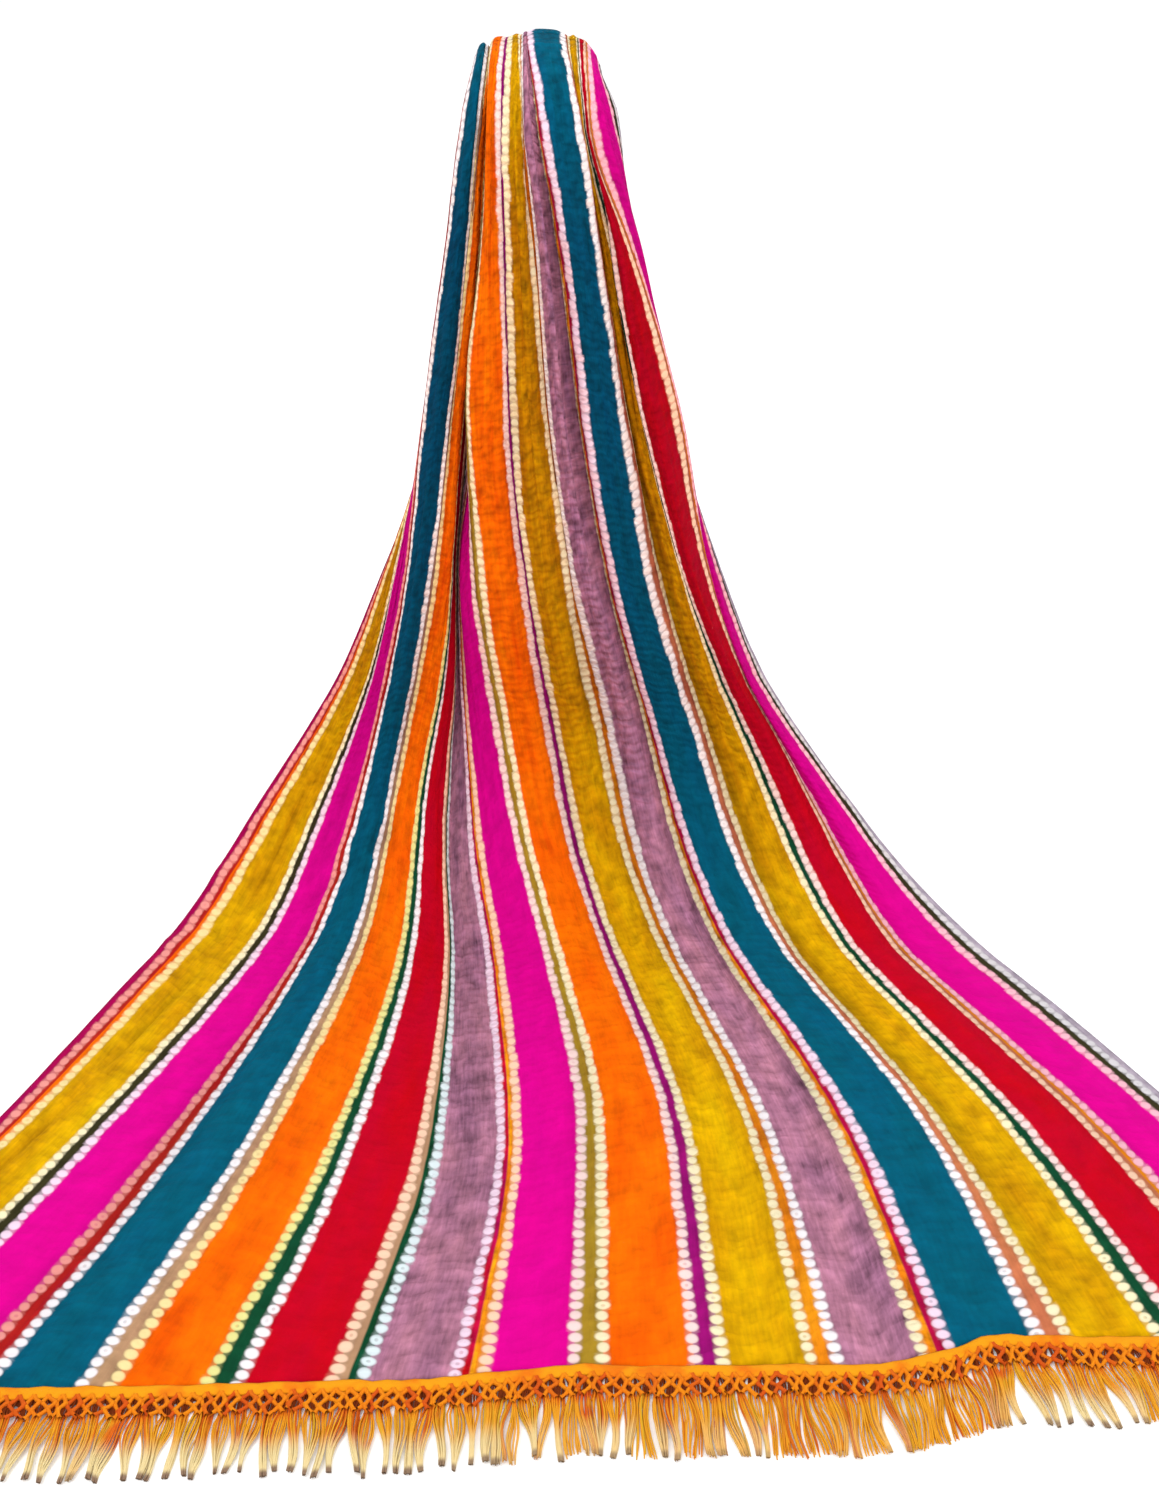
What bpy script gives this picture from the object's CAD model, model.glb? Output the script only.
import math

import bmesh
import bpy
import numpy as np
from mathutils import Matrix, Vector, noise


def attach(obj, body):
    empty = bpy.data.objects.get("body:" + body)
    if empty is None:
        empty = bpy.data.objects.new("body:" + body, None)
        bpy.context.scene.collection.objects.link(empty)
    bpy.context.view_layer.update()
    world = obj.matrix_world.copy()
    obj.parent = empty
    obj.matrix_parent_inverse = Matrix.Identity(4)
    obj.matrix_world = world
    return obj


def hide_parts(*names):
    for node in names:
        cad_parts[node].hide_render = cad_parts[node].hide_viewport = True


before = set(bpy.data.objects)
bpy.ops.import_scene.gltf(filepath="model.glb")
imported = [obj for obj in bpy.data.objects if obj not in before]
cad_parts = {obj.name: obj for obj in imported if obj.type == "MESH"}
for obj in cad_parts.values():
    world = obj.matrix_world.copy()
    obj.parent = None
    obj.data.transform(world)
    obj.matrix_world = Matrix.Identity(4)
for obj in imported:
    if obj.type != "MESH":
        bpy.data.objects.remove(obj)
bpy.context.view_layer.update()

# Front fall: the near stretch of one straight length of light crinkled cotton. It comes over
# the arch in a bundle of soft folds, sweeps forward and spreads over the floor to its hem.
# The stripes, lines and ringed dots are tied and dyed into it, so the cloth puckers along them.
MM = 0.001

# The cloth in metres, and the middle of its first narrow band and how far apart the bands
# are, as shares of its width
WALL = 0.0012
SEAM_GAP = 0.0003
CLOTH_WIDTH = 0.95
STRIPE_START = 0.0175
STRIPE_PITCH = 0.0689

# The way that it hangs, in metres: over an arch, down, round a bend and out over the floor
ARCH_RADIUS = 0.0175
FLOOR_DROP = 0.5413
SWEEP_RADIUS = 0.1400
FLOOR_RUN = 0.3660
BACK_CLEARANCE = 0.0650
NECK_BELOW_ARCH = 0.0710
WAIST_BELOW_ARCH = 0.1830
HIP_BELOW_ARCH = 0.3050
HEEL_PAST_KNEE = 0.1170
FLOOR_PAST_INSTEP = 0.1830

ARCH_MIDDLE = ARCH_RADIUS + WALL / 2
ARCH_RUN = ARCH_MIDDLE * math.pi / 2
FALL_RUN = FLOOR_DROP - ARCH_RADIUS - SWEEP_RADIUS
KNEE_RUN = ARCH_RUN + FALL_RUN
INSTEP_RUN = KNEE_RUN + SWEEP_RADIUS * math.pi / 2
HEM_RUN = INSTEP_RUN + FLOOR_RUN
BACK_RUN = ARCH_RUN + FLOOR_DROP - ARCH_RADIUS - BACK_CLEARANCE

# Where each section is taken, as the run of cloth from the top of the arch
STATIONS = {
    "back_hem": -BACK_RUN,
    "back_waist": -BACK_RUN / 2,
    "ridge": 0.0,
    "crown": ARCH_RUN,
    "neck": ARCH_RUN + NECK_BELOW_ARCH,
    "waist": ARCH_RUN + WAIST_BELOW_ARCH,
    "hip": ARCH_RUN + HIP_BELOW_ARCH,
    "knee": KNEE_RUN,
    "heel": KNEE_RUN + HEEL_PAST_KNEE,
    "instep": INSTEP_RUN,
    "floor": INSTEP_RUN + FLOOR_PAST_INSTEP,
    "hem": HEM_RUN,
}


def stripe_middle(number):
    """Share of the cloth's width at the middle of a wide stripe, numbered 3, 5, ... 29."""
    return STRIPE_START + STRIPE_PITCH * (number / 2 - 1)


# Lengthwise fold lines, left to right: where each lies on the cloth, how much of a full pleat
# dips between it and the next one, and how far the hem falls short there of its longest point
FOLD_LINES = (
    # name, share of the width, dip after it, millimetres short
    ("left_selvedge", 0.0, 0.0, 0),
    ("mustard_3", stripe_middle(3), 0.0, 2),
    ("magenta_5", stripe_middle(5), 0.0, 3),
    ("tuck_turn", 0.155, 0.0, 5),
    ("teal_7", stripe_middle(7), 0.4, 6),
    ("orange_9", stripe_middle(9), 0.0, 8),
    ("red_11", stripe_middle(11), 0.0, 10),
    ("mauve_13", stripe_middle(13), 0.0, 12),
    ("magenta_15", stripe_middle(15), 0.0, 19),
    ("valley_lip", 0.500, 0.0, 23),
    ("orange_17", stripe_middle(17), 0.8, 21),
    ("mustard_19", stripe_middle(19), 1.0, 23),
    ("mauve_21", stripe_middle(21), 1.0, 23),
    ("teal_left", 0.719, 0.0, 35),
    ("teal_23", stripe_middle(23), 0.0, 43),
    ("teal_right", 0.763, 0.8, 43),
    ("mustard_25", stripe_middle(25), 0.3, 42),
    ("red_27", stripe_middle(27), 0.0, 42),
    ("right_turn", stripe_middle(28), 0.0, 41),
    ("magenta_29", stripe_middle(29), 0.0, 39),
    ("right_selvedge", 1.0, 0.0, 36),
)

# Distance to the right of the held point, millimetres
ACROSS = {
    # fold line: back_hem, back_waist, ridge, crown, neck, waist, hip, knee, heel, instep, floor, hem
    "left_selvedge": (-145, -44, -29, -34, -42, -60, -105, -137, -207, -260, -347, -464),
    "mustard_3": (-130, -49, -32, -38, -47, -66, -99, -123, -174, -215, -304, -409),
    "magenta_5": (-110, -56, -35, -42, -52, -71, -94, -111, -143, -173, -250, -340),
    "tuck_turn": (-100, -59, -37, -45, -55, -73, -89, -105, -131, -158, -224, -306),
    "teal_7": (-90, -52, -33, -38, -48, -64, -83, -97, -119, -142, -197, -271),
    "orange_9": (-70, -41, -26, -31, -37, -50, -62, -76, -96, -107, -145, -203),
    "red_11": (-50, -37, -27, -29, -36, -48, -59, -63, -75, -74, -92, -135),
    "mauve_13": (-30, -25, -23, -25, -31, -43, -55, -58, -60, -50, -42, -68),
    "magenta_15": (-10, -13, -19, -21, -27, -38, -52, -48, -33, -14, 5, -3),
    "valley_lip": (0, -7, -27, -28.5, -34, -45, -41, -33, -16, 6, 31, 29),
    "orange_17": (10, 2, -24, -28, -30, -33, -24, -16, 1, 26, 58, 62),
    "mustard_19": (30, 16, -13, -13, -11, -6, 5, 17, 36, 65, 110, 127),
    "mauve_21": (50, 30, -7, -4, 5, 15, 34, 51, 74, 105, 160, 189),
    "teal_left": (64, 39, -5, 6, 18, 32, 51, 69, 97, 131, 195, 231),
    "teal_23": (70, 44, 5, 14, 25, 40, 59, 79, 107, 143, 212, 251),
    "teal_right": (77, 49, 14, 22, 32, 47, 68, 89, 120, 156, 229, 273),
    "mustard_25": (90, 57, 20.5, 25.5, 38, 58, 87, 109, 146, 184, 264, 319),
    "red_27": (110, 69, 25, 28.5, 47.5, 70, 101, 132, 181, 223, 314, 382),
    "right_turn": (120, 74, 27.5, 30.5, 53, 85, 109, 136, 192, 240, 338, 413),
    "magenta_29": (130, 79, 32.5, 40.5, 58, 84, 112, 139, 203, 257, 362, 445),
    "right_selvedge": (145, 86, 36.5, 46.5, 52, 77, 117, 147, 224, 299, 404, 492),
}

# Height of the cloth above the hanging plane, and then above the floor, millimetres
LIFT = {
    # fold line: back_hem, back_waist, ridge, crown, neck, waist, hip, knee, heel, instep, floor, hem
    "left_selvedge": (2, 0.5, 0.5, 0.5, 0.5, 0.5, 2, 3, 2, 1, 0, 0),
    "mustard_3": (7, 1, 0.5, 0.5, 0.5, 3, 10, 11, 9, 6, 4, 0),
    "magenta_5": (13, 6, 4, 4, 5, 9, 15, 15, 11, 6, 5, 1),
    "tuck_turn": (18, 13, 10, 10, 13, 16, 20, 20, 14, 5, 1, 0),
    "teal_7": (22, 22, 17.5, 18, 22, 26, 27, 26, 17, 9, 6, 1),
    "orange_9": (22, 22, 14.5, 15, 17, 20, 22, 22, 15, 8, 6, 0),
    "red_11": (4, 6, 5, 5, 5, 6, 8, 15, 12, 7, 6, 1),
    "mauve_13": (20, 3, 0.5, 0.5, 0.5, 0.5, 0.5, 1, 2, 0.5, 0, 0),
    "magenta_15": (4, 8, 9, 11, 12, 14, 17, 15, 12, 7, 5, 1),
    "valley_lip": (6, 16, 18.5, 20, 22.5, 28, 25, 22, 15, 7, 2, 0),
    "orange_17": (22, 24, 21, 25.5, 30, 34, 34, 30, 18, 9, 6, 1),
    "mustard_19": (22, 24, 22.5, 27, 30, 34, 35, 32, 18, 8, 5, 0),
    "mauve_21": (22, 24, 24, 28, 30, 33, 34, 31, 17, 9, 6, 1),
    "teal_left": (20, 22, 24.5, 28, 28, 29, 31, 28, 16, 8, 6, 0),
    "teal_23": (22, 24, 25.5, 28, 29, 31, 33, 30, 17, 9, 6, 1),
    "teal_right": (21, 23, 23, 26, 27, 29, 31, 28, 16, 8, 6, 0),
    "mustard_25": (22, 22, 21.5, 19.5, 16, 20, 27, 26, 14, 7, 4, 0),
    "red_27": (22, 20, 19.5, 17.5, 22, 27, 30, 28, 16, 9, 6, 1),
    "right_turn": (8, 4, 18, 16.5, 16, 16, 17, 16, 8, 3, 2, 0.5),
    "magenta_29": (18, 14, 11.5, 10.5, 6, 8, 17, 20, 13, 7, 5, 1),
    "right_selvedge": (3, 3, 2, 1.5, 1, 1, 4, 5, 4, 1, 0, 0),
}

# Depth of a full pleat between two fold lines at each station, millimetres
PLEAT_DEPTH = (15, 16, 1.5, 5, 10, 12, 11, 10, 8, 6, 4, 0.5)

# How far apart the tied dots of a row are at each station, drawn up or laid flat, millimetres
DOT_PITCH = (5.6, 5.6, 5.6, 5.6, 5.6, 5.8, 6.4, 6.1, 6.3, 7.0, 7.5, 7.7)

# How many times wider the tied bands lie at each station than even cloth would, which gathers
# up between them instead
BAND_SPREAD = (1.3, 1.7, 2.4, 2.1, 1.7, 1.5, 1.4, 1.3, 1.2, 1.05, 1.0, 1.0)

# How far the dots of a row run together at each station, from 0 to 1
DOT_MERGE = (0.3, 0.6, 0.8, 0.8, 0.8, 0.75, 0.7, 0.7, 0.75, 0.75, 0.6, 0.25)

# How far each row of dots lies from the middle of the line between them at each station, millimetres
ROWS_APART = (8.0, 6.6, 5.4, 5.4, 5.4, 5.4, 5.7, 6.0, 6.4, 6.7, 7.1, 7.9)

# How warm the light is at each station that close folds throw on one another, from 0 to 1
FOLD_WARMTH = (0.2, 0.6, 0.2, 0.55, 1.0, 1.0, 0.85, 0.65, 0.4, 0.15, 0.0, 0.0)

# The stripe about which the cloth is gathered hardest, how far that reaches as a share of the
# width, and what is left of it beyond
GATHERED_STRIPE = 19
GATHER_REACH = 0.085
GATHER_LEFT = 0.62

# Creases: where each starts and ends, its half width and its depth below the cloth in
# millimetres. A puff has a depth below 0, because it stands out.
CREASES = (
    # name, start share, start run, end share, end run, half width, depth
    ("purple_band_puff", 0.5687, -0.010, 0.5687, 0.420, 12.0, -2.6),
    ("mustard_hollow_19", 0.5960, 0.000, 0.6000, 0.300, 8.0, 2.0),
    ("amber_band_puff", 0.6376, -0.010, 0.6376, 0.400, 12.0, -2.6),
    ("mauve_hollow_21", 0.6820, -0.010, 0.6760, 0.330, 8.0, 2.8),
    ("crimson_band_puff", 0.7065, 0.000, 0.7065, 0.400, 12.0, -2.2),
    ("salmon_band_puff", 0.7754, 0.000, 0.7754, 0.400, 12.0, -2.4),
    ("green_band_puff", 0.8443, 0.060, 0.8443, 0.380, 11.0, -2.0),
    ("left_band_puff", 0.2242, 0.000, 0.2242, 0.420, 11.0, -2.0),
    ("mustard_hollow", 0.865, 0.020, 0.805, 0.235, 5.0, 4.0),
    ("orange_line_fold", 0.635, 0.330, 0.615, 0.480, 4.0, 2.5),
    ("mauve_slant", 0.660, 0.330, 0.650, 0.550, 4.0, 2.0),
    ("mustard_slant", 0.805, 0.410, 0.825, 0.590, 5.0, 2.2),
    ("magenta_kink", 0.120, 0.585, 0.255, 0.525, 5.0, 2.6),
    ("magenta_kink_ridge", 0.125, 0.562, 0.250, 0.505, 6.0, -2.0),
    ("mustard_crease_a", 0.051, 0.500, 0.051, 0.592, 3.0, 2.6),
    ("mustard_crease_b", 0.050, 0.640, 0.046, 0.742, 3.0, 2.6),
    ("mustard_crease_c", 0.044, 0.762, 0.039, 0.880, 3.0, 2.2),
    ("mustard_pinch", 0.030, 0.606, 0.047, 0.622, 2.5, 1.6),
    ("orange_pinch", 0.235, 0.695, 0.275, 0.788, 3.0, 1.2),
    ("left_edge_bump_a", 0.000, 0.556, 0.020, 0.574, 7.0, -2.2),
    ("left_edge_bump_b", 0.000, 0.612, 0.018, 0.628, 7.0, -2.0),
    ("mauve_hem_a", 0.370, 0.880, 0.420, 0.900, 5.0, 1.2),
    ("mauve_hem_b", 0.380, 0.935, 0.425, 0.925, 4.0, 1.0),
    ("mauve_hem_c", 0.600, 0.900, 0.680, 0.915, 5.0, 1.3),
    ("mauve_hem_d", 0.610, 0.950, 0.650, 0.935, 4.0, 1.1),
    ("mauve_side_a", 0.625, 0.800, 0.680, 0.812, 4.0, 1.0),
    ("teal_ripple", 0.700, 0.860, 0.765, 0.880, 6.0, 1.0),
    ("back_drag_a", 0.200, -0.060, 0.260, -0.240, 5.0, 2.5),
    ("back_drag_b", 0.560, -0.050, 0.520, -0.300, 5.0, 2.5),
    ("back_drag_c", 0.760, -0.120, 0.800, -0.380, 6.0, 2.0),
    ("back_pinch", 0.420, -0.330, 0.460, -0.420, 4.0, 1.8),
)

# The mesh: its columns over the width, and how far apart its rows are in metres
COLUMN_COUNT = 276
ROW_LENGTH = 0.0057

# Ripples: how many there are over the width, how many to a metre of run, and their slice of noise
COARSE_RIPPLES = (9.0, 14.0, 0.0)
FINE_RIPPLES = (26.0, 46.0, 3.0)
PLEAT_RIPPLES = (75.0, 9.0, 7.0)

# The height of the coarse ripples, millimetres, and how many times as high the fine ones are,
# the ones in gathered cloth, and all of them at the seam
RIPPLE_HEIGHT = 0.8
FINE_RIPPLE = 0.5
PLEAT_RIPPLE = 2.4
LEFT_AT_SEAM = 0.25

# The pucker along a tied band, millimetres
PUCKER_HEIGHT = 0.5
PUCKER_WIDTH = 9.0

# A place is hollow against the cloth within this share of the width, and fully so at this
# many millimetres below it
HOLLOW_REACH = 0.045
HOLLOW_DEPTH = 3.2


def smooth_curve(knots, values, at):
    """Monotone cubic through the knots, so that it never swings past them."""
    steps = [knots[i + 1] - knots[i] for i in range(len(knots) - 1)]
    slopes = [(values[i + 1] - values[i]) / steps[i] for i in range(len(steps))]
    tangents = [slopes[0]]
    for i in range(1, len(slopes)):
        if slopes[i - 1] * slopes[i] <= 0:
            tangents.append(0.0)
        else:
            wide = 2 * steps[i] + steps[i - 1]
            narrow = steps[i] + 2 * steps[i - 1]
            tangents.append((wide + narrow) / (wide / slopes[i - 1] + narrow / slopes[i]))
    tangents.append(slopes[-1])
    at = min(max(at, knots[0]), knots[-1])
    i = 0
    while i < len(steps) - 1 and at > knots[i + 1]:
        i += 1
    t = (at - knots[i]) / steps[i]
    start = values[i] * (1 + 2 * t) * (1 - t) ** 2 + steps[i] * tangents[i] * t * (1 - t) ** 2
    end = values[i + 1] * t ** 2 * (3 - 2 * t) - steps[i] * tangents[i + 1] * t ** 2 * (1 - t)
    return start + end


def flowing_curve(knots, values, at):
    """Catmull-Rom curve through the knots at each of many places, which rounds each fold."""
    knots = np.array(knots)
    values = np.array(values)
    slopes = np.empty(len(knots))
    slopes[1:-1] = (values[2:] - values[:-2]) / (knots[2:] - knots[:-2])
    slopes[0] = (values[1] - values[0]) / (knots[1] - knots[0])
    slopes[-1] = (values[-1] - values[-2]) / (knots[-1] - knots[-2])
    i = np.clip(np.searchsorted(knots, at) - 1, 0, len(knots) - 2)
    step = knots[i + 1] - knots[i]
    t = (at - knots[i]) / step
    start = values[i] * (1 + 2 * t) * (1 - t) ** 2 + step * slopes[i] * t * (1 - t) ** 2
    end = values[i + 1] * t ** 2 * (3 - 2 * t) - step * slopes[i + 1] * t ** 2 * (1 - t)
    return start + end


def section_at(run):
    """Knots of one section: shares of the width, places across and lifts, in metres."""
    places = list(STATIONS.values())
    pleat = smooth_curve(places, PLEAT_DEPTH, run)
    shares = []
    across = []
    lifts = []
    for i, (name, share, dip, _) in enumerate(FOLD_LINES):
        shares.append(share)
        across.append(smooth_curve(places, ACROSS[name], run) * MM)
        lifts.append(smooth_curve(places, LIFT[name], run) * MM)
        if dip:
            after = FOLD_LINES[i + 1]
            shares.append((share + after[1]) / 2)
            next_across = smooth_curve(places, ACROSS[after[0]], run) * MM
            next_lift = smooth_curve(places, LIFT[after[0]], run) * MM
            across.append((across[-1] + next_across) / 2)
            lifts.append(max((lifts[-1] + next_lift) / 2 - dip * pleat * MM, 0.0))
    return shares, across, lifts


def hanging_plane(runs):
    """Places (y, z) of the plane that the cloth hangs on, and its outward normals."""
    side = np.where(runs >= 0, -1.0, 1.0)
    length = np.abs(runs)
    over = np.clip(length / ARCH_MIDDLE, 0, math.pi / 2)
    bend = np.where(runs > 0, np.clip((length - KNEE_RUN) / SWEEP_RADIUS, 0, math.pi / 2), 0)
    deepest = np.where(runs > 0, FALL_RUN, BACK_RUN)
    down = np.clip(length - ARCH_RUN, 0, deepest)
    out = np.where(runs > 0, np.clip(length - INSTEP_RUN, 0, FLOOR_RUN), 0)
    y = side * (ARCH_RADIUS * np.sin(over) + SWEEP_RADIUS * (1 - np.cos(bend)) + out)
    z = ARCH_RADIUS * (np.cos(over) - 1) - down - SWEEP_RADIUS * np.sin(bend)
    return y, z, side * np.sin(over) * np.cos(bend), np.cos(over) + np.sin(bend)


def hang_cloth(runs, shares):
    """Middle of the cloth's wall, as rows of points over the runs and shares."""
    _, hem_knots, _, short = zip(*FOLD_LINES)
    shortfall = flowing_curve(hem_knots, np.array(short) * MM, shares)
    rows = []
    for run in runs:
        knots, across, lifts = section_at(run)
        floor_part = max(0.0, (run - INSTEP_RUN) / FLOOR_RUN)
        y, z, normal_y, normal_z = hanging_plane(run - shortfall * floor_part)
        lift = np.maximum(flowing_curve(knots, lifts, shares), 0.0) + WALL / 2
        x = flowing_curve(knots, across, shares)
        rows.append(np.stack([x, y + normal_y * lift, z + normal_z * lift], axis=1))
    return np.array(rows)


def crease_depth(runs, shares):
    """Depth of the hand-placed creases at every run and share, in metres."""
    depth = np.zeros((len(runs), len(shares)))
    for name, share_a, run_a, share_b, run_b, half_width, deep in CREASES:
        across = (shares[None, :] - share_a) * CLOTH_WIDTH
        along = (runs - run_a)[:, None]
        line = np.array([(share_b - share_a) * CLOTH_WIDTH, run_b - run_a])
        length = np.hypot(*line)
        part = (across * line[0] + along * line[1]) / length ** 2
        beside = (across * line[1] - along * line[0]) / length
        fade = np.clip(1 - (2 * np.clip(part, 0, 1) - 1) ** 2, 0, 1)
        past = np.maximum(np.abs(part - 0.5) - 0.5, 0) * length
        spread = (beside ** 2 + past ** 2) / (half_width * MM) ** 2
        depth += deep * MM * np.sqrt(fade) * np.exp(-spread)
    return depth


def ripple(kind, share, run):
    """Height of one kind of ripple at a place, about -1 to 1."""
    over_width, over_run, noise_slice = kind
    return noise.noise(Vector((share * over_width, run * over_run, noise_slice)))


def ripples(runs, shares, gathered):
    """Small uneven ripples of thin cloth and the pucker along each tied band, in metres."""
    height = np.zeros((len(runs), len(shares)))
    for j, run in enumerate(runs):
        for i, share in enumerate(shares):
            height[j, i] = ripple(COARSE_RIPPLES, share, run)
            height[j, i] += ripple(FINE_RIPPLES, share, run) * FINE_RIPPLE
            height[j, i] += ripple(PLEAT_RIPPLES, share, run) * gathered[j] * PLEAT_RIPPLE
    phase = (shares - STRIPE_START) / STRIPE_PITCH + 0.5
    from_band = (phase - np.floor(phase) - 0.5) * STRIPE_PITCH * CLOTH_WIDTH / MM
    pucker = np.exp(-(from_band / PUCKER_WIDTH) ** 2)
    return (height * RIPPLE_HEIGHT + pucker[None, :] * PUCKER_HEIGHT) * MM


def surface_normals(points):
    """Outward normal at each point of a sheet's rows."""
    along = np.gradient(points, axis=0)
    across = np.gradient(points, axis=1)
    normal = np.cross(along, across)
    return normal / np.linalg.norm(normal, axis=2, keepdims=True)


def hollows(points, normals, shares):
    """How deep each place lies under the cloth beside it, from 0 to 1."""
    reach = round(HOLLOW_REACH / (shares[1] - shares[0]))
    padded = np.pad(points, ((0, 0), (reach, reach), (0, 0)), mode="edge")
    beside = sum(padded[:, k:k + points.shape[1]] for k in range(2 * reach + 1)) / (2 * reach + 1)
    depth = ((beside - points) * normals).sum(axis=2) / (HOLLOW_DEPTH * MM)
    return np.clip(depth, 0, 1)


def at_stations(values, runs):
    """A column with the value at each run, from those at the stations."""
    places = list(STATIONS.values())
    return np.array([smooth_curve(places, values, run) for run in runs])[:, None]


def count_dots(points, pitch, share_step):
    """How many dots lie before each place, and how a straight row of them leans on the cloth."""
    steps = np.linalg.norm(np.diff(points, axis=0), axis=2)
    count = np.zeros(points.shape[:2])
    count[1:] = np.cumsum(steps / ((pitch[1:] + pitch[:-1]) / 2), axis=0)
    along = np.gradient(points, axis=0)
    along /= np.linalg.norm(along, axis=2, keepdims=True)
    across = np.gradient(points, axis=1) / share_step
    lean = (across * along).sum(axis=2) / pitch - np.gradient(count, axis=1) / share_step
    return count, lean


def add_piece(name, bm):
    """The finished bmesh as an object of the scene."""
    mesh = bpy.data.meshes.new(name)
    bm.to_mesh(mesh)
    bm.free()
    mesh.shade_smooth()
    piece = bpy.data.objects.new(name, mesh)
    bpy.context.scene.collection.objects.link(piece)
    return piece


def make_fall(name, start, end):
    """A stretch of the cloth as a thin shell, with its dye map and what its dyes read from it."""
    shares = np.linspace(0.0, 1.0, COLUMN_COUNT + 1)
    row_count = round((end - start) / ROW_LENGTH)
    runs = np.linspace(start, end, row_count + 1)
    points = hang_cloth(runs, shares)
    normals = surface_normals(points)
    if normals[row_count // 2, :, 1].mean() * (1 if start < 0 else -1) < 0:
        normals = -normals

    wider = at_stations(BAND_SPREAD, runs) - 1
    hardest = np.exp(-((shares - stripe_middle(GATHERED_STRIPE)) / GATHER_REACH) ** 2)
    gathered = np.clip(wider * 2, 0, 1)
    lift = ripples(runs, shares, gathered[:, 0]) - crease_depth(runs, shares)
    seam_fade = np.clip(np.abs(runs) / ARCH_RUN, LEFT_AT_SEAM, 1)[:, None]
    points = points + normals * (lift * seam_fade)[..., None]
    points[..., 2] = np.maximum(points[..., 2], -FLOOR_DROP + WALL / 2)

    count, lean = count_dots(points, at_stations(DOT_PITCH, runs) * MM, shares[1] - shares[0])
    looks = {
        "lean": lean,
        "spread": 1 + wider * (GATHER_LEFT + (1 - GATHER_LEFT) * hardest),
        "hollow": hollows(points, normals, shares),
        "gathered": gathered,
        "merge": at_stations(DOT_MERGE, runs),
        "warmth": at_stations(FOLD_WARMTH, runs),
        "apart": at_stations(ROWS_APART, runs),
    }
    grids = [np.broadcast_to(look, points.shape[:2]) for look in looks.values()]

    bm = bmesh.new()
    bmesh.ops.create_grid(bm, x_segments=COLUMN_COUNT, y_segments=row_count, size=1.0)
    bm.verts.ensure_lookup_table()
    dye_map = bm.loops.layers.uv.new("cloth")
    layers = [bm.verts.layers.float.new(look) for look in looks]
    for vert in bm.verts:
        j, i = divmod(vert.index, COLUMN_COUNT + 1)
        vert.co = points[j, i]
        for layer, grid in zip(layers, grids):
            vert[layer] = grid[j, i]
        for loop in vert.link_loops:
            loop[dye_map].uv = (shares[i], count[j, i])
    fall = add_piece(name, bm)
    wall = fall.modifiers.new("wall", "SOLIDIFY")
    wall.thickness = WALL
    wall.offset = 0.0
    return fall, points


# How much of the light a dyed cloth gives back, against its colour as the eye reads it when lit
DYE_STRENGTH = 0.78


def dye(*seen):
    """A dye's share of red, green and blue light, from its colour as seen, 0 to 255."""
    light = []
    for value in seen:
        part = value / 255
        light.append(part / 12.92 if value <= 10 else ((part + 0.055) / 1.055) ** 2.4)
    return (*(part * DYE_STRENGTH for part in light), 1.0)


DYES = {
    "mustard": dye(222, 166, 0),
    "magenta": dye(228, 0, 148),
    "teal": dye(0, 93, 119),
    "orange": dye(255, 108, 0),
    "red": dye(200, 0, 32),
    "mauve": dye(180, 120, 147),
    "lilac_grey": dye(186, 172, 188),
    "dark_green": dye(14, 74, 46),
    "brick": dye(186, 34, 30),
    "salmon_pink": dye(246, 158, 150),
    "tan": dye(184, 142, 108),
    "olive": dye(176, 140, 40),
    "crimson": dye(190, 10, 70),
    "purple": dye(165, 15, 120),
    "berry": dye(178, 0, 84),
    "salmon": dye(205, 118, 80),
    "amber": dye(240, 140, 20),
    "black_olive": dye(58, 54, 30),
    "white": dye(252, 246, 250),
    "cream": dye(255, 242, 200),
    "peach": dye(255, 212, 182),
    "pink": dye(255, 190, 206),
    "blush": dye(255, 224, 220),
    "lilac_white": dye(248, 220, 240),
    "teal_white": dye(226, 240, 244),
    "yellow_white": dye(252, 228, 162),
    "yellow_green": dye(238, 232, 150),
    "grey_white": dye(222, 218, 222),
}

# Wide stripes from the left selvedge
WIDE_STRIPES = (
    # dye, how strongly the cloth mottles it, how dark it looks deep in the folds
    ("berry", 0.2, 0.9),
    ("mustard", 0.5, 1.0),
    ("magenta", 0.1, 0.9),
    ("teal", 0.35, 1.0),
    ("orange", 0.3, 0.5),
    ("red", 0.1, 0.9),
    ("mauve", 0.9, 0.3),
    ("magenta", 0.1, 0.9),
    ("orange", 0.3, 0.3),
    ("mustard", 0.5, 1.0),
    ("mauve", 0.9, 0.3),
    ("teal", 0.35, 0.8),
    ("mustard", 0.5, 1.0),
    ("red", 0.1, 0.9),
    ("magenta", 0.1, 0.9),
    ("lilac_grey", 0.6, 0.3),
)

# Narrow bands from the left: dots, the left and right of the line between them, dots
BANDS = (
    ("salmon_pink", "brick", "orange", "yellow_white"),
    ("cream", "black_olive", "black_olive", "lilac_white"),
    ("salmon_pink", "brick", "brick", "white"),
    ("white", "tan", "tan", "yellow_white"),
    ("yellow_green", "dark_green", "dark_green", "white"),
    ("peach", "tan", "dark_green", "teal_white"),
    ("lilac_white", "crimson", "amber", "peach"),
    ("blush", "olive", "olive", "cream"),
    ("blush", "purple", "purple", "cream"),
    ("cream", "amber", "amber", "white"),
    ("cream", "amber", "crimson", "lilac_white"),
    ("white", "salmon", "salmon", "cream"),
    ("cream", "dark_green", "dark_green", "blush"),
    ("peach", "salmon", "amber", "pink"),
    ("pink", "black_olive", "black_olive", "grey_white"),
)


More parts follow.
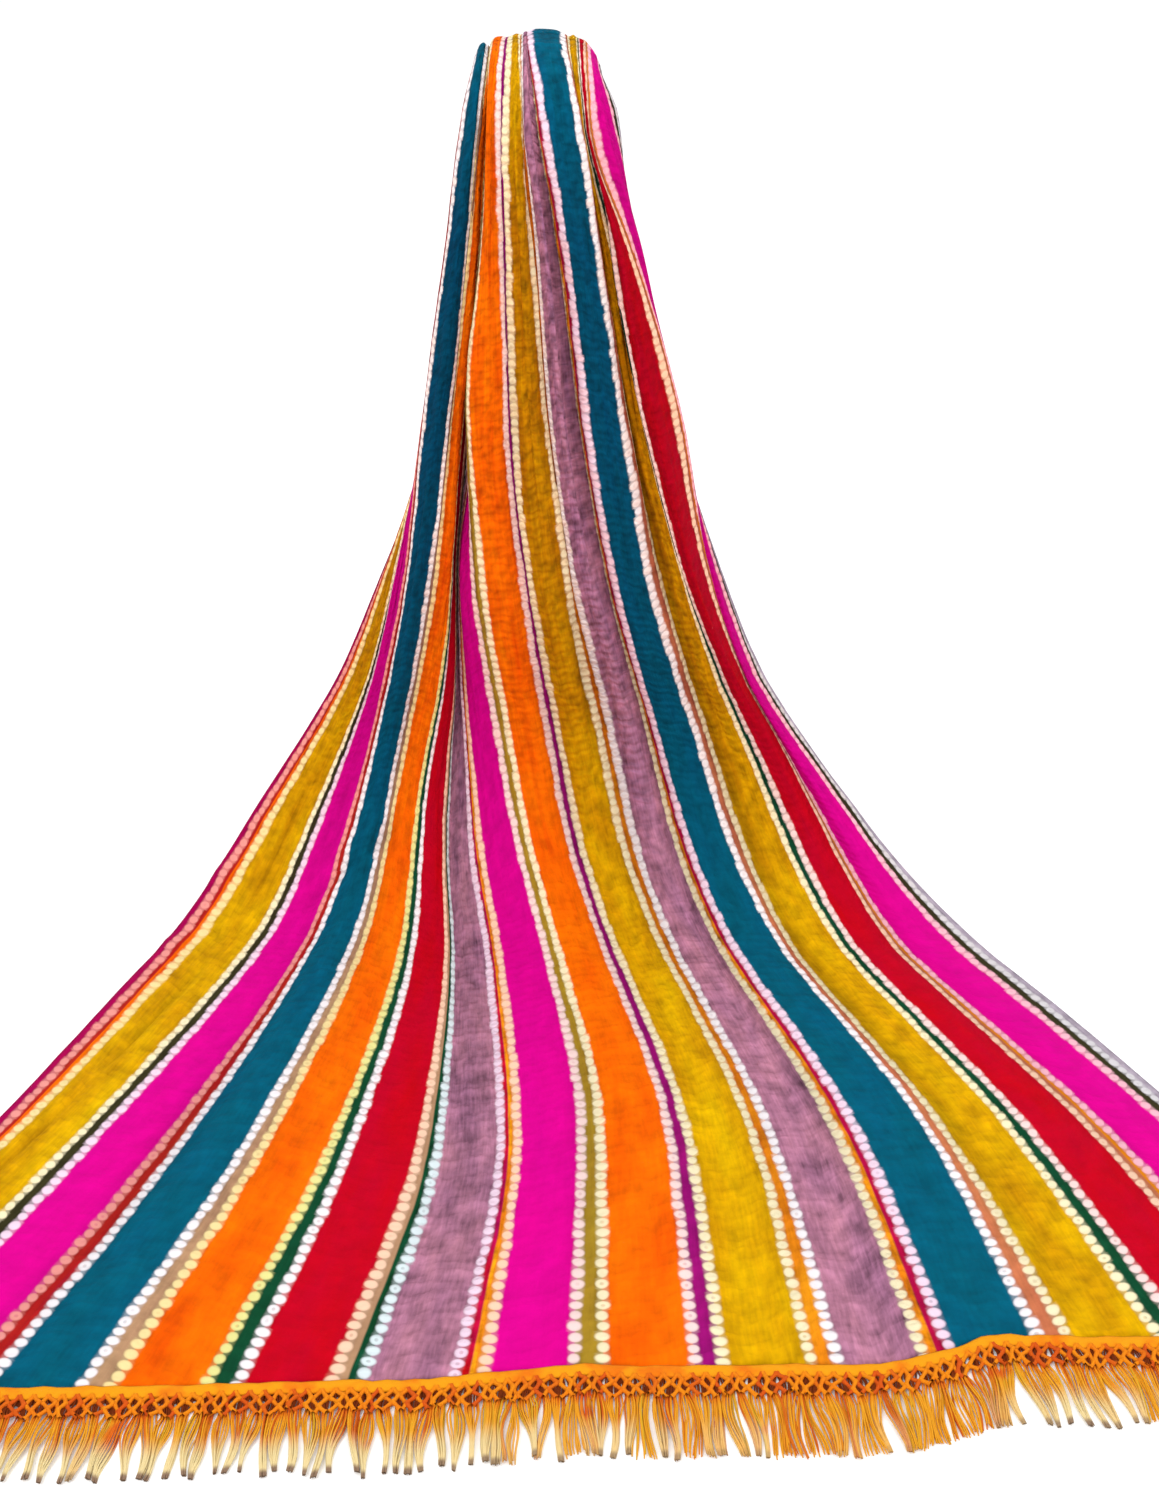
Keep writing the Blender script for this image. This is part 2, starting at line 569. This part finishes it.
class Wire:
    """A value, colour or direction among a material's nodes. Sums on a value add Math nodes."""

    def __init__(self, tree, socket=None):
        self.tree = tree
        self.socket = socket

    def node(self, kind, settings, sockets, output=0):
        """One output of a new node, which has these settings and takes these wires and values."""
        made = self.tree.nodes.new(kind)
        for name, value in settings.items():
            setattr(made, name, value)
        for key, value in sockets.items():
            if isinstance(value, Wire):
                self.tree.links.new(value.socket, made.inputs[key])
            else:
                made.inputs[key].default_value = value
        return Wire(self.tree, made.outputs[output])

    def math(self, operation, *values):
        return self.node("ShaderNodeMath", {"operation": operation}, dict(enumerate(values)))

    def __add__(self, other):
        return self.math("ADD", self, other)

    def __sub__(self, other):
        return self.math("SUBTRACT", self, other)

    def __mul__(self, other):
        return self.math("MULTIPLY", self, other)

    def __truediv__(self, other):
        return self.math("DIVIDE", self, other)

    def __pow__(self, other):
        return self.math("POWER", self, other)

    def __radd__(self, other):
        return self.math("ADD", other, self)

    def __rsub__(self, other):
        return self.math("SUBTRACT", other, self)

    def __rmul__(self, other):
        return self.math("MULTIPLY", other, self)

    def __abs__(self):
        return self.math("ABSOLUTE", self)

    def fade(self, low, high):
        """Goes smoothly from 0 at low to 1 at high."""
        ends = {"Value": self, "From Min": low, "From Max": high}
        return self.node("ShaderNodeMapRange", {"interpolation_type": "SMOOTHSTEP"}, ends)

    def stops(self, colours):
        """Constant colours along the width, each from its place on."""
        ramped = self.node("ShaderNodeValToRGB", {}, {"Fac": self})
        ramp = ramped.socket.node.color_ramp
        ramp.interpolation = "CONSTANT"
        for k, (place, colour) in enumerate(colours):
            stop = ramp.elements[k] if k < 2 else ramp.elements.new(place)
            stop.position = place
            stop.color = colour
        return ramped

    def mixed(self, other, amount, way="MIX"):
        """This colour, with another over it."""
        settings = {"data_type": "RGBA", "blend_type": way}
        return self.node("ShaderNodeMix", settings, {0: amount, 6: self, 7: other}, 2)

    def part(self, axis):
        """One of the three numbers of a place or colour."""
        return self.node("ShaderNodeSeparateXYZ", {}, {0: self}, axis)

    def look(self, name):
        """What the mesh says of a look, point by point."""
        return self.node("ShaderNodeAttribute", {"attribute_name": name}, {}, "Fac")


def at_point(x, y, z=0.0):
    """A place for a noise to be read, from its values."""
    return x.node("ShaderNodeCombineXYZ", {}, {0: x, 1: y, 2: z})


def read_noise(place, scale, detail=2.0):
    """Soft noise from 0 to 1 at a place."""
    return place.node("ShaderNodeTexNoise", {}, {"Vector": place, "Scale": scale, "Detail": detail})


# The rows of dots: half the width of a dot and how far one drifts from its row, millimetres,
# how unevenly they follow one another, and how far each row is ahead of the last, in dots
DOT_HALF_WIDTH = 4.35
DOT_DRIFT = 1.1
DOT_UNEVENNESS = 0.7
ROW_AHEAD = 0.37

# Half the width of a line's soft edge, millimetres, and how far the stripes wander, as a share
LINE_SOFTNESS = 0.8
STRIPE_WANDER = 0.0022

# Unevenness of the cloth: how fine it is over the width, how fine from dot to dot, its detail
WANDER = (30.0, 0.22, 2.0)
PATCHES = (34.0, 0.11, 4.0)
CRUMPLE = (60.0, 0.55, 3.0)
STREAKS = (170.0, 0.07, 2.0)
FIBRES = (420.0, 0.5, 3.0)
WEAVE = (2400.0, 22.0, 1.0)

# What the light between close folds leaves of a wide stripe's colour, and of a dot's
FOLD_SHADE = (0.68, 0.48, 0.60, 1.0)
FOLD_GLOW = (1.0, 0.76, 0.62, 1.0)


def cloth_noise(kind, share, count):
    """One kind of the cloth's unevenness, from 0 to 1."""
    over_width, over_dots, detail = kind
    return read_noise(at_point(share * over_width, count * over_dots), 1.0, detail)


def tie_dyed_cotton(name):
    """The cloth's dye and puckers, read from its own map of shares and counted dots."""
    material = bpy.data.materials.new(name)
    material.use_nodes = True
    tree = material.node_tree
    shader = tree.nodes["Principled BSDF"]
    start = Wire(tree)
    dye_map = start.node("ShaderNodeUVMap", {"uv_map": "cloth"}, {})
    true_share = dye_map.part(0)
    count = dye_map.part(1)
    spread = start.look("spread")
    hollow = start.look("hollow")
    gathered = start.look("gathered")
    merge = start.look("merge")
    warmth = start.look("warmth")

    # Which narrow band is nearest, and how far beside its middle and outside its row of dots
    share = true_share + (cloth_noise(WANDER, true_share, count) - 0.5) * STRIPE_WANDER
    phase = (share - STRIPE_START) / STRIPE_PITCH + 0.5
    band = phase.math("FLOOR", phase)
    beside = (phase - band - 0.5) * (STRIPE_PITCH * CLOTH_WIDTH / MM) / spread
    on_right = beside.math("GREATER_THAN", beside, 0.0)
    side = on_right * 2.0 - 1.0
    outward = abs(beside) - start.look("apart")

    # Which dot of the row is nearest, and how far from its middle, where 1 is its edge
    row = band * 2.0 + on_right
    square_on = start.look("lean") * side * outward * spread / (CLOTH_WIDTH / MM)
    stepped = count + square_on + row * ROW_AHEAD
    uneven = read_noise(at_point(stepped * 0.4, row * 5.3), 1.0)
    stepped = stepped + (uneven - 0.5) * DOT_UNEVENNESS
    dot = stepped.math("FLOOR", stepped)
    place = at_point(dot, row)
    chance = dot.node("ShaderNodeTexWhiteNoise", {"noise_dimensions": "2D"}, {"Vector": place}, 1)
    drift, fullness, tie = (chance.part(axis) for axis in range(3))
    from_middle = (stepped - dot - 0.5) * 2.0
    slim = (0.86 + fullness * 0.28) * (1.0 - gathered * 0.17)
    from_line = (outward + (drift - 0.5) * DOT_DRIFT) / (DOT_HALF_WIDTH * slim)
    reach = (from_middle * from_middle + from_line * from_line) ** 0.5
    inside = reach.fade(1.12, 0.72)
    run_together = abs(from_line).fade(1.15, 0.5) * merge
    inside = inside.math("MAXIMUM", inside, run_together)

    # The dyes of the nearest band and of the wide stripe, and how the stripe takes light
    middles = [STRIPE_START + STRIPE_PITCH * k for k in range(len(BANDS))]
    edges = [0.0] + [middle - STRIPE_PITCH / 2 for middle in middles[1:]]
    left_dots, left_line, right_line, right_dots = (
        share.stops([(edge, DYES[dyes[column]]) for edge, dyes in zip(edges, BANDS)])
        for column in range(4)
    )
    wide_edges = [0.0] + middles
    wide_looks = list(zip(wide_edges, WIDE_STRIPES))
    wide = share.stops([(edge, DYES[dyed]) for edge, (dyed, _, _) in wide_looks])
    lit = share.stops([(edge, (mottled, dark, 0.0, 1.0)) for edge, (_, mottled, dark) in wide_looks])
    mottle = lit.part(0)
    depth = lit.part(1)

    # The ground: stripes and lines, mottled as the cloth took the dye, darker in its hollows
    thin_line = left_line.mixed(right_line, beside.fade(-LINE_SOFTNESS, LINE_SOFTNESS))
    ground = thin_line.mixed(wide, outward.fade(-LINE_SOFTNESS, LINE_SOFTNESS))
    near_dots = abs(outward).fade(5.5, 2.5)
    patches, crumple, streaks, fibres = (
        cloth_noise(kind, share, count) for kind in (PATCHES, CRUMPLE, STREAKS, FIBRES)
    )
    drawn_up = read_noise(at_point(share * 80.0, count * 0.85 + share * 25.0), 1.0, 1.0)
    shade = 1.0 - near_dots * (0.28 - merge * 0.14)
    shade = shade + (patches - 0.5) * mottle * 1.3
    shade = shade + (crumple - 0.5) * (0.25 + mottle * 1.6)
    pleated = (drawn_up - 0.5) * (0.6 + mottle * 0.5) + (streaks - 0.5) * 0.6 + 0.10
    shade = shade + gathered * pleated
    shade = shade + (fibres - 0.5) * mottle * 1.1
    blotch = drawn_up.fade(0.56, 0.32) * mottle * (0.15 + gathered * 0.12)
    shade = shade * (1.0 - blotch) * (1.0 - hollow * 0.36)
    hue = 0.5 + (patches - 0.5) * mottle * 0.10 + (streaks - 0.5) * gathered * mottle * 0.08
    shaded = {"Hue": hue, "Value": shade, "Color": ground}
    ground = ground.node("ShaderNodeHueSaturation", {}, shaded)
    ground = ground.mixed(FOLD_SHADE, warmth * depth, "MULTIPLY")

    # The dots: hardly dyed where the thread held the cloth, and some with the mark of the tie
    tint = left_dots.mixed(right_dots, on_right)
    paler = (0.98 + fullness * 0.06 + gathered * 0.20) * (1.0 - hollow * 0.25)
    paler = paler + gathered * (drawn_up - 0.42) * 0.25
    tint = tint.node("ShaderNodeHueSaturation", {}, {"Value": paler, "Color": tint})
    tint = tint.mixed(FOLD_GLOW, warmth * (0.25 + fullness * 0.5), "MULTIPLY")
    tint = tint.mixed(ground, reach.fade(0.45, 1.15) * (0.5 - merge * 0.5))
    tied = reach.fade(0.40, 0.15) * tie.fade(0.80, 0.90) * (1.0 - merge) * 0.45
    tint = tint.mixed(ground, tied)
    colour = ground.mixed(tint, inside)
    tree.links.new(colour.socket, shader.inputs["Base Color"])

    # The relief in millimetres: domed dots, cloth drawn up from dot to dot, crumple and weave
    dome = 1.0 - reach * reach
    dome = dome.math("MAXIMUM", dome, 0.0) * (0.55 - merge * 0.5)
    turn = count * math.tau + (crumple - 0.5) * 9.0
    drawn = turn.math("SINE", turn) * (0.10 + mottle * 0.20) * (1.0 + gathered)
    height = dome + drawn + crumple * (0.9 + mottle * 1.6)
    height = height + cloth_noise(WEAVE, share, count) * 0.14
    height = height + gathered * (drawn_up * 1.8 + streaks * 1.2)
    bump = height.node("ShaderNodeBump", {}, {"Strength": 1.0, "Distance": MM, "Height": height})
    tree.links.new(bump.socket, shader.inputs["Normal"])
    shader.inputs["Roughness"].default_value = 0.78
    shader.inputs["Specular IOR Level"].default_value = 0.04
    return material


cotton = tie_dyed_cotton("tie_dyed_cotton")
front_fall, front_points = make_fall("front_cloth", SEAM_GAP / 2, HEM_RUN)
front_fall.data.materials.append(cotton)
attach(front_fall, "root")
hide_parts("front_fall")

# Front edging: a bought orange trimming sewn along the hem and lying on the floor. A soft band
# carries a net of yarns knotted in three rows, and each knot of the last row gathers a tassel,
# which thins to a bound tip. Here and there tassels have come undone and lie as a loose brush.
EDGING_LENGTH = 0.0630
FRONT_TASSELS = 125
YARN_SEED = 5

# How the tassels fan out to the sides, as metres outward for each metre from the middle
FAN = 0.22

# The band in metres: its radius is flattened to its thickness, and its edge wavers a little
BAND_WIDTH = 0.0085
BAND_THICKNESS = 0.0022
BAND_FLATNESS = 0.25
BAND_RISE = BAND_THICKNESS * 0.35
BAND_WAVER = 0.0007
BAND_SIDES = 8

# The net in metres: it starts inside the band, and two yarns meet at each of its knots
NET_START = BAND_WIDTH * 0.8
NET_LENGTH = 0.0130
NET_END = BAND_WIDTH + NET_LENGTH
NET_RADIUS = 0.00135
NET_RISE = 0.0012
NET_WEAVE = 0.0004
NET_WANDER = 0.0012
WANDER_RAMP = 0.004
NET_KNOTS = 3
NET_ROWS = 13
NET_SIDES = 5

# How near two yarns come at a knot and how far the last one sways, in spaces of a tassel, and
# how thick a yarn is between knots and how much thicker at one
KNOT_CLOSENESS = 0.94
KNOT_SWAY = 0.10
BETWEEN_KNOTS = 0.85
KNOT_SWELL = 0.5
KNOT_LENGTH = 0.25

# The yarns of a tassel: their size, waves and heap in metres, and their waves in radians
YARNS_PER_TASSEL = 11
YARN_ROWS = 12
YARN_SIDES = 4
YARN_RADIUS = 0.00052
YARN_WAVE = 0.0004
YARN_HEAP = 0.0015
YARN_SINK = 0.0001
YARN_WAVES = 7.0

# How uneven tassels are: in looseness, in lean, in the place of a yarn, and the least length
LOOSE_SPREAD = 0.5
LEAN_SPREAD = 0.07
YARN_STRAY = 0.2
LEAST_LENGTH = 0.93

# A bound tip: where it is thickest, its length, how much it swells, and where it draws in
TIP_MIDDLE = 0.93
TIP_LENGTH = 0.05
TIP_SWELL = 0.3
TIP_END = 0.97

# The edges of a yarn's seam are welded within this, in metres
WELD = 0.000002

# How far along a tassel a place is, from 0 to 1, or else that it is on the band or in the net
ON_BAND = -1.0
IN_NET = -0.5

# How the tassels lie, by share along the hem: how many are loose, how far they lean aside for
# their length, and how pale their ends are
TASSEL_MOODS = (
    # share, loose, lean, pale
    (0.00, 0.1, -0.16, 0.9),
    (0.12, 0.1, -0.26, 1.0),
    (0.27, 0.2, -0.05, 1.0),
    (0.40, 0.0, 0.02, 1.0),
    (0.52, 0.4, 0.00, 0.8),
    (0.60, 0.5, 0.08, 0.5),
    (0.66, 0.9, 0.16, 0.3),
    (0.72, 0.9, 0.04, 0.3),
    (0.78, 0.1, 0.20, 1.0),
    (0.87, 0.9, 0.14, 0.2),
    (0.92, 0.1, 0.22, 0.9),
    (1.00, 0.3, 0.10, 0.8),
)

# Half width of a tassel, as a part of the space it has, from the band to its tip
TASSEL_SHAPE = (
    # part of its length, bound, loose
    (0.00, 0.46, 0.46),
    (0.22, 0.30, 0.30),
    (0.34, 0.46, 0.48),
    (0.50, 0.40, 0.54),
    (0.64, 0.28, 0.58),
    (0.80, 0.21, 0.60),
    (0.93, 0.12, 0.62),
    (1.00, 0.14, 0.64),
)


class Hem:
    """Places by a hem: how far along it, how far out from it and how high over it."""

    def __init__(self, row, out, up):
        steps = np.linalg.norm(np.diff(row, axis=0), axis=1)
        lengths = np.concatenate([[0.0], np.cumsum(steps)])
        self.length = lengths[-1]
        self.shares = lengths / self.length
        self.row = row
        self.out = out / np.linalg.norm(out, axis=1, keepdims=True)
        self.up = np.array(up)

    def spot(self, share, reach, rise):
        """The place there. Knotting is never quite even, so all that hangs from the band wanders."""
        below = np.clip((reach - BAND_WIDTH) / WANDER_RAMP, 0.0, 1.0)
        wander = np.sin(share * 151.0 + reach * 90.0) + 0.7 * np.sin(share * 397.0 - reach * 130.0)
        share = share + wander * below * NET_WANDER / self.length
        reach = reach + np.sin(share * 229.0) * below * NET_WANDER
        past = (share - np.clip(share, 0.0, 1.0)) * self.length
        place = np.stack([np.interp(share, self.shares, self.row[:, k]) for k in range(3)], axis=-1)
        out = np.stack([np.interp(share, self.shares, self.out[:, k]) for k in range(3)], axis=-1)
        place[..., 0] += past
        return place + out * reach[..., None] + self.up * rise[..., None]


def lay_yarns(bm, layers, routes, radii, up, looks, sides, flatness=1.0):
    """Round yarns along rows of places: one grid, cut between the yarns, with open seams."""
    yarns, rows = routes.shape[:2]
    width = yarns * (sides + 1)
    first = len(bm.verts)
    first_face = len(bm.faces)
    bmesh.ops.create_grid(bm, x_segments=width - 1, y_segments=rows - 1, size=1.0)
    bm.verts.ensure_lookup_table()
    bm.verts.index_update()
    bm.faces.ensure_lookup_table()
    cut = []
    for face in bm.faces[first_face:]:
        left = min((vert.index - first) % width for vert in face.verts)
        if left % (sides + 1) == sides:
            cut.append(face)
    run = np.gradient(routes, axis=1)
    run /= np.linalg.norm(run, axis=2, keepdims=True)
    beside = np.cross(run, up)
    beside /= np.linalg.norm(beside, axis=2, keepdims=True)
    over = np.cross(beside, run) * flatness
    turns = np.arange(sides + 1) % sides * 2 * math.pi / sides
    rings = [routes + (math.cos(t) * beside + math.sin(t) * over) * radii[..., None] for t in turns]
    for offset in range(width * rows):
        j, column = divmod(offset, width)
        k, corner = divmod(column, sides + 1)
        vert = bm.verts[first + offset]
        vert.co = rings[corner][k, j]
        for layer, look in zip(layers, looks):
            vert[layer] = look[k, j]
    bmesh.ops.delete(bm, geom=cut, context="FACES_ONLY")


def lay_band(bm, layers, hem, tassels, rng):
    """The soft flat band that is sewn to the hem."""
    shares = np.linspace(0.0, 1.0, tassels * 2 + 1)[None, :]
    bends = rng.uniform(-BAND_WAVER, BAND_WAVER, tassels + 1)
    waver = np.interp(shares * tassels, np.arange(tassels + 1), bends)
    rise = np.full_like(shares, BAND_RISE)
    route = hem.spot(shares, np.full_like(shares, BAND_WIDTH / 2) + waver, rise)
    radii = np.full_like(shares, BAND_THICKNESS / 2 / BAND_FLATNESS)
    looks = (np.full_like(shares, ON_BAND), np.full_like(shares, 0.5), np.zeros_like(shares))
    lay_yarns(bm, layers, route, radii, hem.up, looks, BAND_SIDES, BAND_FLATNESS)


def lay_net(bm, layers, hem, tassels, rng):
    """Two yarns for each tassel, which zigzag out of the band and meet others at the knots."""
    t = np.linspace(0.0, 1.0, NET_ROWS)[None, :]
    side = np.repeat([1.0, -1.0], tassels)[:, None]
    number = np.tile(np.arange(tassels) + 0.5, 2)[:, None]
    sway = rng.uniform(-KNOT_SWAY, KNOT_SWAY, (tassels * 2, 1)) * t
    knot = t * NET_KNOTS
    back_and_forth = 1 - np.abs(knot % 2 - 1)
    zigzag = side * 0.5 * back_and_forth * KNOT_CLOSENESS + sway
    level = np.zeros_like(zigzag)
    reach = NET_START + t * (NET_END - NET_START) + level
    rise = NET_RISE + NET_WEAVE * side * np.sin(t * math.pi) + level
    route = hem.spot((number + zigzag) / tassels, reach, rise)
    from_knot = np.abs(knot - np.round(knot))
    swell = BETWEEN_KNOTS + KNOT_SWELL * np.exp(-(from_knot / KNOT_LENGTH) ** 2)
    tone = rng.uniform(0.2, 1.0, (tassels * 2, 1)) + level
    looks = (level + IN_NET, tone, level)
    lay_yarns(bm, layers, route, NET_RADIUS * swell + level, hem.up, looks, NET_SIDES)


def lay_tassels(bm, layers, hem, tassels, rng):
    """Separate yarns from each last knot, drawn in to a bound tip or lying loose."""
    one_each = (tassels, 1, 1)
    each_yarn = (tassels, YARNS_PER_TASSEL, 1)
    places = (np.arange(1, tassels + 1) / tassels).reshape(one_each)
    moods = np.array(TASSEL_MOODS)
    loose, lean, pale = (np.interp(places, moods[:, 0], moods[:, k]) for k in (1, 2, 3))
    loose = loose + rng.uniform(-LOOSE_SPREAD, LOOSE_SPREAD, one_each)
    loose = np.clip((loose - 0.45) * 4, 0, 1)
    lean = lean + rng.uniform(-LEAN_SPREAD, LEAN_SPREAD, one_each)

    t = np.linspace(0.0, 1.0, YARN_ROWS)[None, None, :]
    shape = np.array(TASSEL_SHAPE)
    bound_width = np.interp(t, shape[:, 0], shape[:, 1])
    loose_width = np.interp(t, shape[:, 0], shape[:, 2])
    spread = bound_width + (loose_width - bound_width) * loose
    beside = np.linspace(-1.0, 1.0, YARNS_PER_TASSEL)[None, :, None]
    beside = beside + rng.uniform(-YARN_STRAY, YARN_STRAY, each_yarn)
    phase = rng.uniform(0.0, math.tau, each_yarn)
    wave = np.sin(t * YARN_WAVES + phase) * YARN_WAVE * (0.4 + loose) * np.sin(t * math.pi)
    whole = EDGING_LENGTH * rng.uniform(LEAST_LENGTH, 1.0, one_each)
    whole = whole * (1 + rng.uniform(-0.05, 0.02, each_yarn) * loose)
    reach = NET_START + (whole - NET_START) * t
    hanging = np.maximum(reach - NET_END, 0.0)
    aside = beside * spread * hem.length / tassels + lean * hanging + wave
    heap = rng.uniform(0.0, YARN_HEAP, each_yarn) * (0.35 + np.sin(t * 2.6))
    route = hem.spot(places + aside / hem.length, reach, heap - YARN_SINK)

    level = np.zeros_like(aside)
    tip = np.exp(-((t - TIP_MIDDLE) / TIP_LENGTH) ** 2) * TIP_SWELL * (1 - loose)
    radii = YARN_RADIUS * (np.where(t > TIP_END, 0.7, 1.0) + tip) + level
    tone = rng.uniform(0.0, 1.0, each_yarn) * 0.6
    tone = tone + rng.uniform(0.0, 0.4, one_each) + level
    looks = (t + level, tone, pale * (1 - loose) + level)
    route, radii, *looks = (
        grid.reshape(-1, YARN_ROWS, *grid.shape[3:]) for grid in (route, radii, *looks)
    )
    lay_yarns(bm, layers, route, radii, hem.up, looks, YARN_SIDES)


def make_edging(name, hem, tassels):
    """The band, the net and the tassels, with how far along, how light and how pale each place is."""
    rng = np.random.default_rng(YARN_SEED)
    bm = bmesh.new()
    layers = [bm.verts.layers.float.new(look) for look in ("along", "tone", "pale")]
    lay_band(bm, layers, hem, tassels, rng)
    lay_net(bm, layers, hem, tassels, rng)
    lay_tassels(bm, layers, hem, tassels, rng)
    bmesh.ops.remove_doubles(bm, verts=bm.verts, dist=WELD)
    bmesh.ops.recalc_face_normals(bm, faces=bm.faces)
    return add_piece(name, bm)


YARN_DYES = {
    "band": dye(255, 168, 16),
    "band_patch": dye(250, 126, 10),
    "net": dye(250, 130, 16),
    "net_shade": dye(226, 92, 18),
    "gold": dye(255, 178, 40),
    "burnt_gold": dye(224, 100, 20),
    "yellow_gold": dye(226, 186, 50),
    "vermilion": dye(236, 76, 24),
    "knot_shade": dye(130, 52, 8),
    "pale_end": dye(255, 232, 172),
    "bound_tip": dye(160, 130, 106),
}


def dyed_yarn(name):
    """Orange yarn: amber band and net, gold tassels, pale ends and grey-brown bound tips."""
    material = bpy.data.materials.new(name)
    material.use_nodes = True
    tree = material.node_tree
    shader = tree.nodes["Principled BSDF"]
    start = Wire(tree)
    along, tone, pale = (start.look(look) for look in ("along", "tone", "pale"))
    place = start.node("ShaderNodeTexCoord", {}, {}, "Object")
    band = start.node("ShaderNodeRGB", {}, {})
    band.socket.default_value = YARN_DYES["band"]
    band = band.mixed(YARN_DYES["band_patch"], read_noise(place, 60.0).fade(0.45, 0.75))
    net = band.mixed(YARN_DYES["net"], 0.6)
    net = net.mixed(YARN_DYES["net_shade"], tone.fade(0.55, 0.25))

    # The tassels: each dye over the last, by tone, in patches, then from the knot to the tip
    over = {
        "gold": along.fade(0.25, 0.42),
        "burnt_gold": tone.fade(0.45, 0.12),
        "yellow_gold": tone.fade(0.70, 0.95) * 0.8,
        "vermilion": read_noise(place, 26.0).fade(0.60, 0.68) * 0.7,
        "knot_shade": along.fade(0.30, 0.20),
        "pale_end": along.fade(0.48, 0.80) * pale,
        "bound_tip": along.fade(0.90, 0.97) * pale,
    }
    tassel = net
    for dyed, amount in over.items():
        tassel = tassel.mixed(YARN_DYES[dyed], amount)
    colour = band.mixed(net, along.fade(-0.9, -0.8)).mixed(tassel, along.fade(-0.3, -0.1))
    tree.links.new(colour.socket, shader.inputs["Base Color"])
    twist = read_noise(place, 1500.0, 3.0)
    bump = start.node("ShaderNodeBump", {}, {"Strength": 0.7, "Distance": MM, "Height": twist})
    tree.links.new(bump.socket, shader.inputs["Normal"])
    shader.inputs["Roughness"].default_value = 0.85
    shader.inputs["Specular IOR Level"].default_value = 0.15
    return material


hem_row = front_points[-1]
fanned = np.stack([hem_row[:, 0] * FAN, -np.ones(len(hem_row)), np.zeros(len(hem_row))], axis=1)
orange_yarn = dyed_yarn("orange_yarn")
front_edging = make_edging("front_edging", Hem(hem_row, fanned, (0.0, 0.0, 1.0)), FRONT_TASSELS)
front_edging.data.materials.append(orange_yarn)
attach(front_edging, "root")
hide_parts("front_tassels")

# Back fall: the far stretch of the same cloth. It runs on from the top of the arch and hangs
# straight down behind in soft pleats, with its own edging clear of the floor.
back_fall, back_points = make_fall("back_cloth", -BACK_RUN, -SEAM_GAP / 2)
back_fall.data.materials.append(cotton)
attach(back_fall, "root")
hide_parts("back_fall")

# Back edging: the same knotted trimming, sewn along the far hem. It hangs straight down behind
# the front fall, clear of the floor.
BACK_TASSELS = 100
back_hem = back_points[0]
downward = np.tile([0.0, 0.0, -1.0], (len(back_hem), 1))
back_edging = make_edging("back_edging", Hem(back_hem, downward, (0.0, 1.0, 0.0)), BACK_TASSELS)
back_edging.data.materials.append(orange_yarn)
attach(back_edging, "root")
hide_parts("back_tassels")

# Floor, light and camera: a plain white sweep under broad soft light, seen from the photo's
# angle. The floor lies just under the cloth.
FLOOR_REACH = 6.0
FLOOR_MIDDLE = 2.0
UNDER_CLOTH = 0.0002
bm = bmesh.new()
bmesh.ops.create_grid(bm, x_segments=1, y_segments=1, size=FLOOR_REACH)
bmesh.ops.translate(bm, verts=bm.verts, vec=(0.0, FLOOR_MIDDLE, -FLOOR_DROP - UNDER_CLOTH))
floor = add_piece("floor", bm)
paper = bpy.data.materials.new("white_paper")
paper.use_nodes = True
finish = paper.node_tree.nodes["Principled BSDF"].inputs
finish["Base Color"].default_value = (0.93, 0.93, 0.93, 1.0)
finish["Roughness"].default_value = 0.9
finish["Emission Color"].default_value = (1.0, 1.0, 1.0, 1.0)
finish["Emission Strength"].default_value = 0.10
floor.data.materials.append(paper)

world = bpy.data.worlds.new("studio")
bpy.context.scene.world = world
world.use_nodes = True
sky = world.node_tree.nodes["Background"].inputs
sky["Color"].default_value = (1.0, 1.0, 1.0, 1.0)
sky["Strength"].default_value = 0.80

# Square lamps: place, width and power. All of them aim at one place.
LAMPS = {
    "key_lamp": ((-1.1, -1.5, 1.7), 1.2, 30.0),
    "fill_lamp": ((1.4, -1.6, 0.7), 1.5, 14.0),
    "top_lamp": ((0.2, 0.5, 1.6), 1.6, 14.0),
}
LAMP_AIM = Vector((0.0, -0.2, -0.3))
for name, (place, size, power) in LAMPS.items():
    light = bpy.data.lights.new(name, "AREA")
    light.shape = "SQUARE"
    light.size = size
    light.energy = power
    lamp = bpy.data.objects.new(name, light)
    lamp.location = place
    lamp.rotation_euler = (LAMP_AIM - Vector(place)).to_track_quat("-Z", "Y").to_euler()
    bpy.context.scene.collection.objects.link(lamp)

# The photo's camera: metres aside, before the cloth and over the floor, and degrees downward
CAMERA_ASIDE = 0.024
CAMERA_DISTANCE = 1.38
CAMERA_HEIGHT = 1.0257
CAMERA_DOWN = 35.0
camera_data = bpy.data.cameras.new("camera")
camera_data.sensor_fit = "VERTICAL"
camera_data.sensor_height = 36.0
camera_data.lens = 57.6
camera = bpy.data.objects.new("camera", camera_data)
camera.location = (CAMERA_ASIDE, -CAMERA_DISTANCE, CAMERA_HEIGHT - FLOOR_DROP)
camera.rotation_euler = (math.radians(90.0 - CAMERA_DOWN), 0.0, 0.0)
bpy.context.scene.collection.objects.link(camera)
bpy.context.scene.camera = camera
bpy.context.scene.view_settings.view_transform = "Standard"
